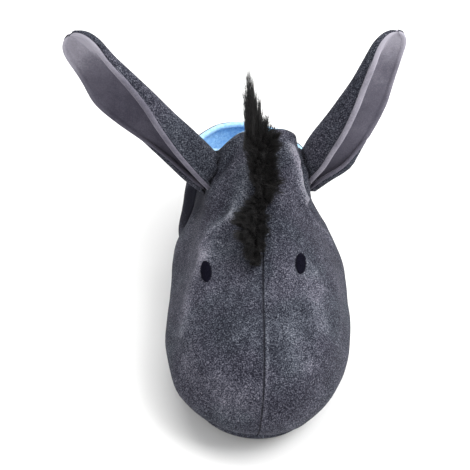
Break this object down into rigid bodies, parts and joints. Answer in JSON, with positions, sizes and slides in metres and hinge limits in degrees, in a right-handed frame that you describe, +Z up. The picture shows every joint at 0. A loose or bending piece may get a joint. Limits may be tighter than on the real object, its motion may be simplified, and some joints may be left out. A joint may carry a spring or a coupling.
{
  "type": "animal slipper",
  "caption": "Plush indoor slipper whose closed upper is a donkey's head, with cupped ears, a fur mane, embroidered eyes, a padded footbed and a flat soft sole.",
  "frame": {"origin": "on the floor under the middle of the sole's length, on the midline of the flat forefoot tread", "axes": "+Z up from the floor, +Y from toe to heel, +X to the right of someone who faces the toe"},
  "size_m": [0.2205, 0.272, 0.2216],
  "materials": {
    "charcoal_cloth": "brushed heathered plush",
    "sole_textile": "matt non-slip textile",
    "blue_lining": "soft fleece",
    "black_fur": "long pile fur",
    "black_thread": "satin stitch embroidery"
  },
  "bodies": {
    "root": {"sole": "sole_textile", "insole": "blue_lining", "upper": "charcoal_cloth", "collar_piping": "blue_lining", "ear_left": "charcoal_cloth", "ear_right": "charcoal_cloth", "mane": "black_fur", "eye_left": "black_thread", "eye_right": "black_thread"}
  },
  "joints": []
}
